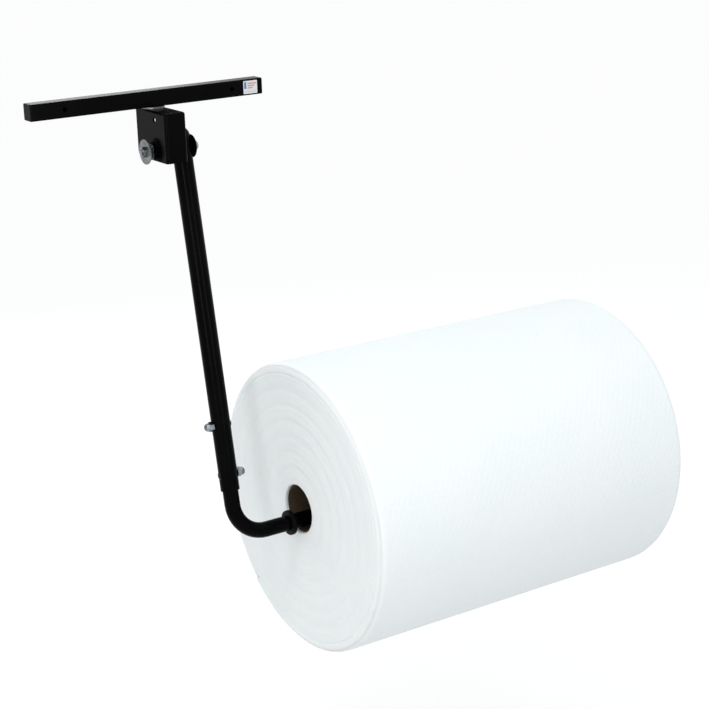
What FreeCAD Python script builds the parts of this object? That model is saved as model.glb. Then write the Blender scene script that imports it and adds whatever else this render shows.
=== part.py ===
import FreeCAD, Part
import math
import os

# A roll dispenser for packing wrap. A short square bar is screwed to the edge of a bench.
# A bracket swivels under the bar, an arm swings on the bracket's side,
# and the arm's bent foot is the spindle that carries a wide roll on a cardboard core.
# Units are millimetres. +X runs along the bar and the spindle, +Y points into the bench,
# +Z is up. The origin is the middle of the bar's back face, midway between its two screw holes.

# Mount bar
BAR_LENGTH = 393.7
BAR_SIDE = 25.4
BAR_WALL = 1.6
BAR_CORNER = 2.2
BAR_CAP_FLANGE = 3.2
BAR_CAP_PLUG = 14.0
BAR_CAP_EDGE = 1.4
MOUNT_HOLE_SPACING = 284.0
MOUNT_HOLE_DIAMETER = 7.0

# Label stuck on the bar's front face
LABEL_WIDTH = 25.0
LABEL_HEIGHT = 20.4
LABEL_THICKNESS = 0.2
LABEL_FROM_END = 9.5

# Swivel bolt under the bar
SWIVEL_OFFSET = 9.8
SWIVEL_BOLT_DIAMETER = 12.7
SWIVEL_HEAD_FLATS = 19.05
SWIVEL_HEAD_HEIGHT = 8.1
SWIVEL_NUT_FLATS = 19.05
SWIVEL_NUT_HEIGHT = 11.0
SWIVEL_WASHER_DIAMETER = 34.9
SWIVEL_WASHER_THICKNESS = 2.6
HEAD_WASHER_DIAMETER = 26.0
HEAD_WASHER_THICKNESS = 2.4

# Bracket, bent from sheet and open at its back and below
BRACKET_WIDTH = 35.6
BRACKET_DEPTH = 96.0
BRACKET_HEIGHT = 76.2
BRACKET_WALL = 3.0
BRACKET_FRONT_OVERHANG = 71.3
BRACKET_BEND = 4.2
BRACKET_EAR_CORNER = 10.0
BRACKET_TOP_EDGE = 3.8
SPARE_HOLE_DIAMETER = 8.4
SPARE_HOLE_BEHIND_FRONT = 35.8
SPARE_HOLE_BELOW_TOP = 12.8

# Pivot bolt through the bracket's ears and the arm
PIVOT_BEHIND_FRONT = 51.3
PIVOT_ABOVE_BOTTOM = 13.5
PIVOT_BOLT_DIAMETER = 9.525
PIVOT_HEAD_DIAMETER = 19.0
PIVOT_HEAD_HEIGHT = 9.0
PIVOT_HEAD_WASHER_DIAMETER = 25.4
PIVOT_HEAD_WASHER_THICKNESS = 2.0
FRICTION_DISC_DIAMETER = 36.0
FRICTION_DISC_THICKNESS = 1.6
FRICTION_DISC_EDGE = 0.5
FENDER_WASHER_DIAMETER = 38.5
FENDER_WASHER_THICKNESS = 1.6
PIVOT_NUT_FLATS = 14.29
PIVOT_NUT_HEIGHT = 5.6
PIVOT_BOLT_END = 1.6
PIVOT_BUSHING_DIAMETER = 14.3
PIVOT_BUSHING_PROUD = 0.5

# Spring that presses the pivot together
SPRING_LENGTH = 9.8
SPRING_WIRE_DIAMETER = 2.2
SPRING_MEAN_DIAMETER = 22.2
SPRING_TURNS = 3

# Arm: a wide upper tube with a narrower bent tube bolted into its foot
ARM_WALL = 2.3
ARM_ABOVE_PIVOT = 16.5
ARM_BELOW_PIVOT = 546.5
ARM_TILT = 10.36
ARM_CAP_FLANGE = 2.0
ARM_CAP_DOME = 13.5
ARM_CAP_PLUG = 8.0
FOOT_DIAMETER = 25.4
FOOT_WALL = 1.65
FOOT_INSERTION = 150.0
FOOT_DROP = 624.7
FOOT_BEND_RADIUS = 53.7

# Cross bolts with domed nuts that lock the two tubes together
CROSS_BOLT_DIAMETER = 9.525
CROSS_HEAD_DIAMETER = 12.5
CROSS_HEAD_HEIGHT = 1.6
UPPER_BOLT_ABOVE_END = 106.5
LOWER_BOLT_ABOVE_END = 25.5
DOMED_NUT_FLATS = 14.29
DOMED_NUT_HEX_HEIGHT = 6.8
DOMED_NUT_HEIGHT = 14.6
DOMED_NUT_BORE_DEPTH = 10.5
DOMED_NUT_SHOULDER = 0.4

# Spindle fittings on the foot's level run
COLLAR_BEYOND_CORNER = 94.5
COLLAR_DIAMETER = 41.0
COLLAR_LENGTH = 8.0
COLLAR_EDGE = 2.0
SLEEVE_BEYOND_COLLAR = 62.0
SLEEVE_DIAMETER = 36.5
SLEEVE_WALL = 3.0
BUSHING_LENGTH = 20.0
END_CAP_DIAMETER = 41.0
END_CAP_LENGTH = 6.0
END_CAP_PLUG = 16.0
END_CAP_EDGE = 2.0
SPINDLE_BEYOND_ROLL = 12.0

# Wrap roll on its core
ROLL_LENGTH = 624.0
ROLL_DIAMETER = 484.0
ROLL_EDGE = 9.0
ROLL_INNER_EDGE = 1.2
ROLL_BEYOND_COLLAR = 12.9
CORE_BORE = 76.0
CORE_WALL = 2.6
CORE_RECESS = 6.0

# Shallow V-shaped rings in the roll's ends, where the turns have drifted sideways
RIM_GROOVE_INSET = 16.5
RIM_GROOVE_HALF_WIDTH = 2.4
RIM_GROOVE_DEPTH = 1.8
END_BANDS = 7
BAND_GROOVE_DEPTH = 1.6
BAND_GROOVE_SHARE = 0.3

# Clearances
RUNNING_FIT = 0.08
PRESS_GAP = 0.04
BOLT_HOLE_GAP = 0.25
TUBE_GAP = 0.275
FACE_GAP = 0.3
SEAT_GAP = 0.1

X_AXIS = FreeCAD.Vector(1, 0, 0)
Y_AXIS = FreeCAD.Vector(0, 1, 0)
Z_AXIS = FreeCAD.Vector(0, 0, 1)

# Sizes and places that follow from the ones above
FOOT_RADIUS = FOOT_DIAMETER / 2
ARM_INNER_RADIUS = FOOT_RADIUS + TUBE_GAP
ARM_DIAMETER = 2 * (ARM_INNER_RADIUS + ARM_WALL)
BAR_MID_Y = -BAR_SIDE / 2
BAR_UNDERSIDE = -BAR_SIDE / 2
BAR_FLOOR = BAR_UNDERSIDE + BAR_WALL
SWIVEL = FreeCAD.Vector(SWIVEL_OFFSET, BAR_MID_Y, BAR_UNDERSIDE)
BRACKET_TOP = BAR_UNDERSIDE - SWIVEL_WASHER_THICKNESS - SEAT_GAP
BRACKET_BOTTOM = BRACKET_TOP - BRACKET_HEIGHT
BRACKET_FRONT = BAR_MID_Y - BRACKET_FRONT_OVERHANG
BRACKET_BACK = BRACKET_FRONT + BRACKET_DEPTH
BRACKET_NEAR = SWIVEL_OFFSET - BRACKET_WIDTH / 2
BRACKET_FAR = SWIVEL_OFFSET + BRACKET_WIDTH / 2
TOP_PLATE_UNDERSIDE = BRACKET_TOP - BRACKET_WALL
PIVOT_Y = BRACKET_FRONT + PIVOT_BEHIND_FRONT
PIVOT_Z = BRACKET_BOTTOM + PIVOT_ABOVE_BOTTOM
PIVOT_BUSHING_LENGTH = ARM_DIAMETER + 2 * PIVOT_BUSHING_PROUD
PIVOT_BUSHING_NEAR = BRACKET_FAR + FACE_GAP
ARM_X = PIVOT_BUSHING_NEAR + PIVOT_BUSHING_LENGTH / 2
DISC_NEAR = PIVOT_BUSHING_NEAR + PIVOT_BUSHING_LENGTH + FACE_GAP
HEAD_WASHER_NEAR = DISC_NEAR + FRICTION_DISC_THICKNESS
PIVOT_HEAD_NEAR = HEAD_WASHER_NEAR + PIVOT_HEAD_WASHER_THICKNESS
FENDER_WASHER_FAR = BRACKET_NEAR - SPRING_LENGTH
PIVOT_NUT_FAR = FENDER_WASHER_FAR - FENDER_WASHER_THICKNESS
PIVOT_BOLT_NEAR = PIVOT_NUT_FAR - PIVOT_NUT_HEIGHT - PIVOT_BOLT_END
PIVOT_BOLT_RADIUS = PIVOT_BOLT_DIAMETER / 2
FOOT_INNER_RADIUS = FOOT_RADIUS - FOOT_WALL
COLLAR_START = COLLAR_BEYOND_CORNER
COLLAR_END = COLLAR_START + COLLAR_LENGTH
ROLL_START = COLLAR_END + ROLL_BEYOND_COLLAR
ROLL_END = ROLL_START + ROLL_LENGTH
FOOT_END = ROLL_END + SPINDLE_BEYOND_ROLL
SLEEVE_START = COLLAR_END + SLEEVE_BEYOND_COLLAR
SLEEVE_END = FOOT_END - FACE_GAP
SLEEVE_RADIUS = SLEEVE_DIAMETER / 2
SLEEVE_INNER_RADIUS = SLEEVE_RADIUS - SLEEVE_WALL
CORE_BORE_RADIUS = CORE_BORE / 2
CORE_RADIUS = CORE_BORE_RADIUS + CORE_WALL
ROLL_LIFT = CORE_BORE_RADIUS - SLEEVE_RADIUS - FACE_GAP
RIM_GROOVE_RADIUS = ROLL_DIAMETER / 2 - RIM_GROOVE_INSET
END_BAND_WIDTH = (RIM_GROOVE_RADIUS - CORE_RADIUS) / END_BANDS


def rod_x(start, length, radius, y=0.0, z=0.0):
    return Part.makeCylinder(radius, length, FreeCAD.Vector(start, y, z), X_AXIS)


def ring_x(start, length, outer_radius, inner_radius, y=0.0, z=0.0):
    outer = rod_x(start, length, outer_radius, y, z)
    return outer.cut(rod_x(start, length, inner_radius, y, z))


def rod_z(bottom, height, radius, x=0.0, y=0.0):
    return Part.makeCylinder(radius, height, FreeCAD.Vector(x, y, bottom), Z_AXIS)


def ring_z(bottom, height, outer_radius, inner_radius, x=0.0, y=0.0):
    outer = rod_z(bottom, height, outer_radius, x, y)
    return outer.cut(rod_z(bottom, height, inner_radius, x, y))


def hexagon(flats, height):
    """Hexagonal prism standing on z = 0, with two flats square to Y."""
    corner = flats / math.sqrt(3)
    points = []
    for step in range(7):
        angle = math.radians(60 * step)
        points.append(FreeCAD.Vector(corner * math.cos(angle), corner * math.sin(angle), 0))
    face = Part.Face(Part.makePolygon(points))
    return face.extrude(Z_AXIS * height)


def chamfered_hexagon(flats, height):
    """Hexagon whose top corners are cut by a cone, as on a forged nut or head."""
    corner = flats / math.sqrt(3)
    reach = flats / 2 + height / math.tan(math.radians(30))
    cone = Part.makeCone(reach, flats / 2, height)
    body = rod_z(0, height, corner + 1)
    return hexagon(flats, height).common(cone.common(body))


def dome(radius, height):
    """Spherical cap standing on z = 0."""
    ball_radius = (radius ** 2 + height ** 2) / (2 * height)
    ball = Part.makeSphere(ball_radius, FreeCAD.Vector(0, 0, height - ball_radius))
    return ball.common(rod_z(0, height, radius))


def facing_x(shape, x, y=0.0, z=0.0, towards=1):
    """Turn a shape built up along +Z so that it stands on a plane square to X."""
    turned = shape.copy()
    turned.rotate(FreeCAD.Vector(0, 0, 0), Y_AXIS, 90 * towards)
    turned.translate(FreeCAD.Vector(x, y, z))
    return turned


def rounded_square_bar(side, corner, start, length, y, z):
    """Square bar along X with rounded long edges."""
    box = Part.makeBox(length, side, side, FreeCAD.Vector(start, y - side / 2, z - side / 2))
    long_edges = [e for e in box.Edges if abs(e.tangentAt(e.FirstParameter).x) > 0.9]
    return box.makeFillet(corner, long_edges)


def mount_bar():
    start = -BAR_LENGTH / 2 + BAR_CAP_FLANGE
    length = BAR_LENGTH - 2 * BAR_CAP_FLANGE
    outer = rounded_square_bar(BAR_SIDE, BAR_CORNER, start, length, BAR_MID_Y, 0)
    inner_side = BAR_SIDE - 2 * BAR_WALL
    inner_corner = BAR_CORNER - BAR_WALL
    bar = outer.cut(rounded_square_bar(inner_side, inner_corner, start, length, BAR_MID_Y, 0))
    for side in (-1, 1):
        place = FreeCAD.Vector(side * MOUNT_HOLE_SPACING / 2, -BAR_SIDE, 0)
        bar = bar.cut(Part.makeCylinder(MOUNT_HOLE_DIAMETER / 2, BAR_SIDE, place, Y_AXIS))
    hole_radius = SWIVEL_BOLT_DIAMETER / 2 + BOLT_HOLE_GAP
    return bar.cut(rod_z(BAR_UNDERSIDE, BAR_WALL, hole_radius, SWIVEL.x, SWIVEL.y))


def bar_cap(side):
    """Plastic end cap: a flange as wide as the bar and a plug pressed into it."""
    end = side * BAR_LENGTH / 2
    flange_start = min(end, end - side * BAR_CAP_FLANGE)
    flange = rounded_square_bar(BAR_SIDE, BAR_CORNER, flange_start, BAR_CAP_FLANGE, BAR_MID_Y, 0)
    rim = [e for e in flange.Edges if abs(e.CenterOfMass.x - end) < 0.01]
    flange = flange.makeFillet(BAR_CAP_EDGE, rim)
    plug_side = BAR_SIDE - 2 * BAR_WALL - 2 * PRESS_GAP
    plug_corner = BAR_CORNER - BAR_WALL
    plug_end = end - side * (BAR_CAP_FLANGE + BAR_CAP_PLUG)
    plug_start = min(plug_end, end - side * BAR_CAP_FLANGE)
    plug = rounded_square_bar(plug_side, plug_corner, plug_start, BAR_CAP_PLUG, BAR_MID_Y, 0)
    return flange.fuse(plug).removeSplitter()


def bar_label():
    x = BAR_LENGTH / 2 - LABEL_FROM_END - LABEL_WIDTH
    corner = FreeCAD.Vector(x, -BAR_SIDE - LABEL_THICKNESS, -LABEL_HEIGHT / 2)
    return Part.makeBox(LABEL_WIDTH, LABEL_THICKNESS, LABEL_HEIGHT, corner)


def swivel_bolt():
    """Hex bolt from below: head inside the bracket, thread in the nut inside the bar."""
    head_top = TOP_PLATE_UNDERSIDE - SEAT_GAP - HEAD_WASHER_THICKNESS
    head = chamfered_hexagon(SWIVEL_HEAD_FLATS, SWIVEL_HEAD_HEIGHT)
    head.rotate(FreeCAD.Vector(0, 0, 0), X_AXIS, 180)
    head.translate(FreeCAD.Vector(SWIVEL.x, SWIVEL.y, head_top))
    shank_height = BAR_FLOOR + SWIVEL_NUT_HEIGHT - head_top
    shank = rod_z(head_top, shank_height, SWIVEL_BOLT_DIAMETER / 2, SWIVEL.x, SWIVEL.y)
    return head.fuse(shank).removeSplitter()


def swivel_nut():
    nut = chamfered_hexagon(SWIVEL_NUT_FLATS, SWIVEL_NUT_HEIGHT)
    nut = nut.cut(rod_z(0, SWIVEL_NUT_HEIGHT, SWIVEL_BOLT_DIAMETER / 2 + PRESS_GAP))
    nut.translate(FreeCAD.Vector(SWIVEL.x, SWIVEL.y, BAR_FLOOR))
    return nut


def swivel_washer():
    hole_radius = SWIVEL_BOLT_DIAMETER / 2 + BOLT_HOLE_GAP
    bottom = BAR_UNDERSIDE - SWIVEL_WASHER_THICKNESS
    outer_radius = SWIVEL_WASHER_DIAMETER / 2
    return ring_z(bottom, SWIVEL_WASHER_THICKNESS, outer_radius, hole_radius, SWIVEL.x, SWIVEL.y)


def swivel_head_washer():
    hole_radius = SWIVEL_BOLT_DIAMETER / 2 + BOLT_HOLE_GAP
    bottom = TOP_PLATE_UNDERSIDE - SEAT_GAP - HEAD_WASHER_THICKNESS
    outer_radius = HEAD_WASHER_DIAMETER / 2
    return ring_z(bottom, HEAD_WASHER_THICKNESS, outer_radius, hole_radius, SWIVEL.x, SWIVEL.y)


def bracket_outline():
    """Outer block of the bracket with its bends and its rounded ear corners."""
    corner = FreeCAD.Vector(BRACKET_NEAR, BRACKET_FRONT, BRACKET_BOTTOM)
    block = Part.makeBox(BRACKET_WIDTH, BRACKET_DEPTH, BRACKET_HEIGHT, corner)
    bends = [e for e in block.Edges if edge_along(e, Z_AXIS) and at_front(e)]
    block = block.makeFillet(BRACKET_BEND, bends)
    ear_corners = [e for e in block.Edges if edge_along(e, X_AXIS) and at_low_back(e)]
    block = block.makeFillet(BRACKET_EAR_CORNER, ear_corners)
    rim = [e for e in block.Edges if e.BoundBox.ZMin > BRACKET_TOP - 0.01 and not at_back(e)]
    return block.makeFillet(BRACKET_TOP_EDGE, rim)


def edge_along(edge, axis):
    return abs(edge.tangentAt(edge.FirstParameter).dot(axis)) > 0.99


def at_front(edge):
    return edge.BoundBox.YMax < BRACKET_FRONT + 0.01


def at_back(edge):
    return edge.BoundBox.YMin > BRACKET_BACK - 0.01


def at_low_back(edge):
    return at_back(edge) and edge.BoundBox.ZMax < BRACKET_BOTTOM + 0.01


def bracket_hollow():
    """Inside of the bracket, open behind and below, one wall in from the outline."""
    width = BRACKET_WIDTH - 2 * BRACKET_WALL
    depth = BRACKET_DEPTH - BRACKET_WALL
    height = BRACKET_HEIGHT - BRACKET_WALL
    corner = FreeCAD.Vector(BRACKET_NEAR + BRACKET_WALL, BRACKET_FRONT + BRACKET_WALL, BRACKET_BOTTOM)
    block = Part.makeBox(width, depth, height, corner)
    inner_front = BRACKET_FRONT + BRACKET_WALL + 0.01
    bends = [e for e in block.Edges if edge_along(e, Z_AXIS) and e.BoundBox.YMax < inner_front]
    return block.makeFillet(BRACKET_BEND - BRACKET_WALL, bends)


def pivot_bracket():
    bracket = bracket_outline().cut(bracket_hollow())
    pivot_hole = PIVOT_BOLT_RADIUS + BOLT_HOLE_GAP
    bracket = bracket.cut(rod_x(BRACKET_NEAR, BRACKET_WIDTH, pivot_hole, PIVOT_Y, PIVOT_Z))
    swivel_hole = SWIVEL_BOLT_DIAMETER / 2 + RUNNING_FIT
    top_hole = rod_z(TOP_PLATE_UNDERSIDE, BRACKET_WALL, swivel_hole, SWIVEL.x, SWIVEL.y)
    bracket = bracket.cut(top_hole)
    spare_y = BRACKET_FRONT + SPARE_HOLE_BEHIND_FRONT
    spare_z = BRACKET_TOP - SPARE_HOLE_BELOW_TOP
    return bracket.cut(rod_x(BRACKET_NEAR, BRACKET_WALL, SPARE_HOLE_DIAMETER / 2, spare_y, spare_z))


def pivot_bolt():
    shank_length = PIVOT_HEAD_NEAR - PIVOT_BOLT_NEAR
    shank = rod_x(PIVOT_BOLT_NEAR, shank_length, PIVOT_BOLT_RADIUS, PIVOT_Y, PIVOT_Z)
    head = dome(PIVOT_HEAD_DIAMETER / 2, PIVOT_HEAD_HEIGHT)
    head = facing_x(head, PIVOT_HEAD_NEAR, PIVOT_Y, PIVOT_Z)
    return shank.fuse(head).removeSplitter()


def pivot_head_washer():
    hole_radius = PIVOT_BOLT_RADIUS + BOLT_HOLE_GAP
    outer_radius = PIVOT_HEAD_WASHER_DIAMETER / 2
    thickness = PIVOT_HEAD_WASHER_THICKNESS
    return ring_x(HEAD_WASHER_NEAR, thickness, outer_radius, hole_radius, PIVOT_Y, PIVOT_Z)


def friction_disc():
    hole_radius = PIVOT_BOLT_RADIUS + BOLT_HOLE_GAP
    disc = rod_x(DISC_NEAR, FRICTION_DISC_THICKNESS, FRICTION_DISC_DIAMETER / 2, PIVOT_Y, PIVOT_Z)
    disc = disc.makeFillet(FRICTION_DISC_EDGE, [e for e in disc.Edges if e.Closed])
    return disc.cut(rod_x(DISC_NEAR, FRICTION_DISC_THICKNESS, hole_radius, PIVOT_Y, PIVOT_Z))


def fender_washer():
    hole_radius = PIVOT_BOLT_RADIUS + BOLT_HOLE_GAP
    outer_radius = FENDER_WASHER_DIAMETER / 2
    return ring_x(PIVOT_NUT_FAR, FENDER_WASHER_THICKNESS, outer_radius, hole_radius, PIVOT_Y, PIVOT_Z)


def pivot_lock_nut():
    nut = chamfered_hexagon(PIVOT_NUT_FLATS, PIVOT_NUT_HEIGHT)
    nut = nut.cut(rod_z(0, PIVOT_NUT_HEIGHT, PIVOT_BOLT_RADIUS + PRESS_GAP))
    return facing_x(nut, PIVOT_NUT_FAR, PIVOT_Y, PIVOT_Z, towards=-1)


def spring_point(turn):
    """Point of the spring's wire after so many turns, and its direction there."""
    angle = 2 * math.pi * turn
    radius = SPRING_MEAN_DIAMETER / 2
    x = turn * spring_pitch()
    point = FreeCAD.Vector(x, radius * math.cos(angle), radius * math.sin(angle))
    rise = spring_pitch() / (2 * math.pi * radius)
    direction = FreeCAD.Vector(rise, -math.sin(angle), math.cos(angle))
    return point, direction.normalize()


def spring_pitch():
    wire_run = SPRING_LENGTH - 2 * SEAT_GAP - SPRING_WIRE_DIAMETER
    return wire_run / SPRING_TURNS


def arc_from(start, direction, end):
    """Arc that leaves start along direction and ends at end."""
    chord = end - start
    along = chord * (chord.dot(direction) / chord.dot(chord))
    bow = direction - along
    half_angle = direction.getAngle(chord) / 2
    middle = start + chord * 0.5 + bow.normalize() * (chord.Length / 2 * math.tan(half_angle))
    return Part.Arc(start, middle, end).toShape()


def biarc(start, start_direction, end, end_direction):
    """Two arcs that meet smoothly between two points with given directions."""
    chord = end - start
    total = start_direction + end_direction
    bend = 2 * (1 - start_direction.dot(end_direction))
    reach = chord.dot(total)
    step = (-reach + math.sqrt(reach ** 2 + 2 * bend * chord.dot(chord))) / bend
    before = start + start_direction * step
    after = end - end_direction * step
    meet = (before + after) * 0.5
    meet_direction = (after - before).normalize()
    return arc_from(start, start_direction, meet), arc_from(meet, meet_direction, end)


def spring_path():
    edges = []
    quarters = 4 * SPRING_TURNS
    for quarter in range(quarters):
        start, start_direction = spring_point(quarter / 4)
        end, end_direction = spring_point((quarter + 1) / 4)
        first, second = biarc(start, start_direction, end, end_direction)
        edges.append(first)
        edges.append(second)
    return Part.Wire(edges)


def print_spring_gap():
    """Least gap between neighbouring turns of the wire, measured on points."""
    samples = 72
    least = None
    for low in range(SPRING_TURNS * samples + 1):
        for high in range(low + samples // 2, SPRING_TURNS * samples + 1):
            gap = (spring_point(high / samples)[0] - spring_point(low / samples)[0]).Length
            least = gap if least is None else min(least, gap)
    print("spring: least gap between turns", round(least - SPRING_WIRE_DIAMETER, 3), "mm")


def tension_spring():
    start, direction = spring_point(0)
    section = Part.Wire(Part.Circle(start, direction, SPRING_WIRE_DIAMETER / 2).toShape())
    spring = spring_path().makePipeShell([section], True, False)
    spring.translate(FreeCAD.Vector(
        FENDER_WASHER_FAR + SEAT_GAP + SPRING_WIRE_DIAMETER / 2, PIVOT_Y, PIVOT_Z))
    return spring


def placed_on_arm(shape):
    """Move a piece from the arm's own frame to the part's frame.

    In the arm's own frame the pivot is the origin, the arm hangs along -Z
    and its foot runs along +X. The arm is stored tilted towards the front.
    """
    placed = shape.copy()
    placed.rotate(FreeCAD.Vector(0, 0, 0), X_AXIS, -ARM_TILT)
    placed.translate(FreeCAD.Vector(ARM_X, PIVOT_Y, PIVOT_Z))
    return placed


def foot_axis():
    """Point of the part's frame where the arm's and the foot's centre lines cross."""
    tilt = math.radians(ARM_TILT)
    y = PIVOT_Y - FOOT_DROP * math.sin(tilt)
    z = PIVOT_Z - FOOT_DROP * math.cos(tilt)
    return FreeCAD.Vector(ARM_X, y, z)


def cross_bolt_heights():
    """Heights of the two cross bolts below the pivot, upper first."""
    upper = -(ARM_BELOW_PIVOT - UPPER_BOLT_ABOVE_END)
    lower = -(ARM_BELOW_PIVOT - LOWER_BOLT_ABOVE_END)
    return upper, lower


def cross_bolt_holes():
    radius = CROSS_BOLT_DIAMETER / 2 + BOLT_HOLE_GAP
    upper, lower = cross_bolt_heights()
    first = rod_x(-ARM_DIAMETER, 2 * ARM_DIAMETER, radius, 0, upper)
    return first.fuse(rod_x(-ARM_DIAMETER, 2 * ARM_DIAMETER, radius, 0, lower))


def upper_arm_tube():
    height = ARM_ABOVE_PIVOT + ARM_BELOW_PIVOT
    tube = ring_z(-ARM_BELOW_PIVOT, height, ARM_DIAMETER / 2, ARM_INNER_RADIUS)
    bushing_hole = rod_x(-ARM_DIAMETER, 2 * ARM_DIAMETER, PIVOT_BUSHING_DIAMETER / 2 + PRESS_GAP)
    return placed_on_arm(tube.cut(bushing_hole).cut(cross_bolt_holes()))


def arm_top_cap():
    flange = rod_z(ARM_ABOVE_PIVOT, ARM_CAP_FLANGE, ARM_DIAMETER / 2)
    crown = dome(ARM_DIAMETER / 2, ARM_CAP_DOME)
    crown.translate(Z_AXIS * (ARM_ABOVE_PIVOT + ARM_CAP_FLANGE))
    room_above_bushing = ARM_ABOVE_PIVOT - PIVOT_BUSHING_DIAMETER / 2 - FACE_GAP
    plug_height = min(ARM_CAP_PLUG, room_above_bushing)
    plug = rod_z(ARM_ABOVE_PIVOT - plug_height, plug_height, ARM_INNER_RADIUS - PRESS_GAP)
    return placed_on_arm(flange.fuse(crown).fuse(plug).removeSplitter())


def pivot_bushing():
    start = -PIVOT_BUSHING_LENGTH / 2
    bore = PIVOT_BOLT_RADIUS + RUNNING_FIT
    return placed_on_arm(ring_x(start, PIVOT_BUSHING_LENGTH, PIVOT_BUSHING_DIAMETER / 2, bore))


def foot_path():
    """Centre line of the bent tube: down the arm, round the bend and along the spindle."""
    top = -(ARM_BELOW_PIVOT - FOOT_INSERTION)
    bend_top = FreeCAD.Vector(0, 0, -FOOT_DROP + FOOT_BEND_RADIUS)
    bend_end = FreeCAD.Vector(FOOT_BEND_RADIUS, 0, -FOOT_DROP)
    inset = FOOT_BEND_RADIUS * (1 - math.sqrt(0.5))
    bend_middle = FreeCAD.Vector(inset, 0, -FOOT_DROP + inset)
    drop = Part.makeLine(FreeCAD.Vector(0, 0, top), bend_top)
    bend = Part.Arc(bend_top, bend_middle, bend_end).toShape()
    run = Part.makeLine(bend_end, FreeCAD.Vector(FOOT_END, 0, -FOOT_DROP))
    return Part.Wire([drop, bend, run])


def foot_solid(radius):
    path = foot_path()
    start = path.OrderedVertexes[0].Point
    section = Part.Wire(Part.Circle(start, Z_AXIS, radius).toShape())
    return path.makePipeShell([section], True, False)


def lower_arm_tube():
    tube = foot_solid(FOOT_RADIUS).cut(foot_solid(FOOT_INNER_RADIUS))
    return placed_on_arm(tube.cut(cross_bolt_holes()))


def cross_bolt(height, head_side):
    """Round-headed bolt across both tubes, with its head on one side of the arm."""
    reach = ARM_DIAMETER / 2
    thread = DOMED_NUT_BORE_DEPTH - 2 * SEAT_GAP
    seat = head_side * reach
    rod = rod_z(0, 2 * reach + thread, CROSS_BOLT_DIAMETER / 2)
    shank = facing_x(rod, seat, 0, height, -head_side)
    head = facing_x(dome(CROSS_HEAD_DIAMETER / 2, CROSS_HEAD_HEIGHT), seat, 0, height, head_side)
    return placed_on_arm(shank.fuse(head).removeSplitter())


def domed_nut(height, side):
    """Hex nut closed by a ball-shaped dome, on one side of the arm."""
    base = chamfered_hexagon(DOMED_NUT_FLATS, DOMED_NUT_HEX_HEIGHT)
    dome_radius = DOMED_NUT_FLATS / 2 - DOMED_NUT_SHOULDER
    cap = dome(dome_radius, DOMED_NUT_HEIGHT - DOMED_NUT_HEX_HEIGHT)
    cap.translate(Z_AXIS * DOMED_NUT_HEX_HEIGHT)
    bore = rod_z(0, DOMED_NUT_BORE_DEPTH, CROSS_BOLT_DIAMETER / 2 + PRESS_GAP)
    nut = base.fuse(cap).cut(bore).removeSplitter()
    return placed_on_arm(facing_x(nut, side * ARM_DIAMETER / 2, 0, height, side))


def cross_bolts():
    upper, lower = cross_bolt_heights()
    return Part.makeCompound([cross_bolt(upper, 1), cross_bolt(lower, -1)])


def domed_nuts():
    upper, lower = cross_bolt_heights()
    return Part.makeCompound([domed_nut(upper, -1), domed_nut(lower, 1)])


def retaining_collar():
    bore = FOOT_RADIUS + PRESS_GAP
    collar = rod_x(COLLAR_START, COLLAR_LENGTH, COLLAR_DIAMETER / 2, 0, -FOOT_DROP)
    collar = collar.makeFillet(COLLAR_EDGE, [e for e in collar.Edges if e.Closed])
    return placed_on_arm(collar.cut(rod_x(COLLAR_START, COLLAR_LENGTH, bore, 0, -FOOT_DROP)))


def spindle_bushing(start):
    bore = FOOT_RADIUS + PRESS_GAP
    outer_radius = SLEEVE_INNER_RADIUS - RUNNING_FIT
    return placed_on_arm(ring_x(start, BUSHING_LENGTH, outer_radius, bore, 0, -FOOT_DROP))


def spindle_sleeve():
    length = SLEEVE_END - SLEEVE_START
    sleeve = ring_x(SLEEVE_START, length, SLEEVE_RADIUS, SLEEVE_INNER_RADIUS, 0, -FOOT_DROP)
    return placed_on_arm(sleeve)


def spindle_end_cap():
    head = rod_x(FOOT_END, END_CAP_LENGTH, END_CAP_DIAMETER / 2, 0, -FOOT_DROP)
    rim = [e for e in head.Edges if e.Closed and e.CenterOfMass.x > FOOT_END + END_CAP_LENGTH / 2]
    head = head.makeFillet(END_CAP_EDGE, rim)
    plug_radius = FOOT_INNER_RADIUS - PRESS_GAP
    plug = rod_x(FOOT_END - END_CAP_PLUG, END_CAP_PLUG, plug_radius, 0, -FOOT_DROP)
    return placed_on_arm(head.fuse(plug).removeSplitter())


def placed_on_roll(shape):
    """Move a piece built on the X axis to the roll's own axis, above the spindle's."""
    placed = shape.copy()
    placed.translate(foot_axis() + FreeCAD.Vector(0, 0, ROLL_LIFT))
    return placed


def wrap_core():
    start = ROLL_START + CORE_RECESS
    length = ROLL_LENGTH - 2 * CORE_RECESS
    return placed_on_roll(ring_x(start, length, CORE_RADIUS, CORE_BORE_RADIUS))


def end_groove(radius, half_width, depth):
    """Ring of V section that cuts the roll's near end to this depth and half width."""
    bottom = FreeCAD.Vector(ROLL_START + depth, 0, radius)
    inner = FreeCAD.Vector(ROLL_START - depth, 0, radius - 2 * half_width)
    outer = FreeCAD.Vector(ROLL_START - depth, 0, radius + 2 * half_width)
    section = Part.Face(Part.makePolygon([bottom, inner, outer, bottom]))
    return section.revolve(FreeCAD.Vector(0, 0, 0), X_AXIS, 360)


def end_grooves():
    """Grooves of both ends: a narrow one near the rim and wide ones between the bands."""
    grooves = [end_groove(RIM_GROOVE_RADIUS, RIM_GROOVE_HALF_WIDTH, RIM_GROOVE_DEPTH)]
    half_width = END_BAND_WIDTH * BAND_GROOVE_SHARE
    for band in range(1, END_BANDS):
        radius = RIM_GROOVE_RADIUS - band * END_BAND_WIDTH
        grooves.append(end_groove(radius, half_width, BAND_GROOVE_DEPTH))
    middle = FreeCAD.Vector(ROLL_START + ROLL_LENGTH / 2, 0, 0)
    return grooves + [groove.mirror(middle, X_AXIS) for groove in grooves]


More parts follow.
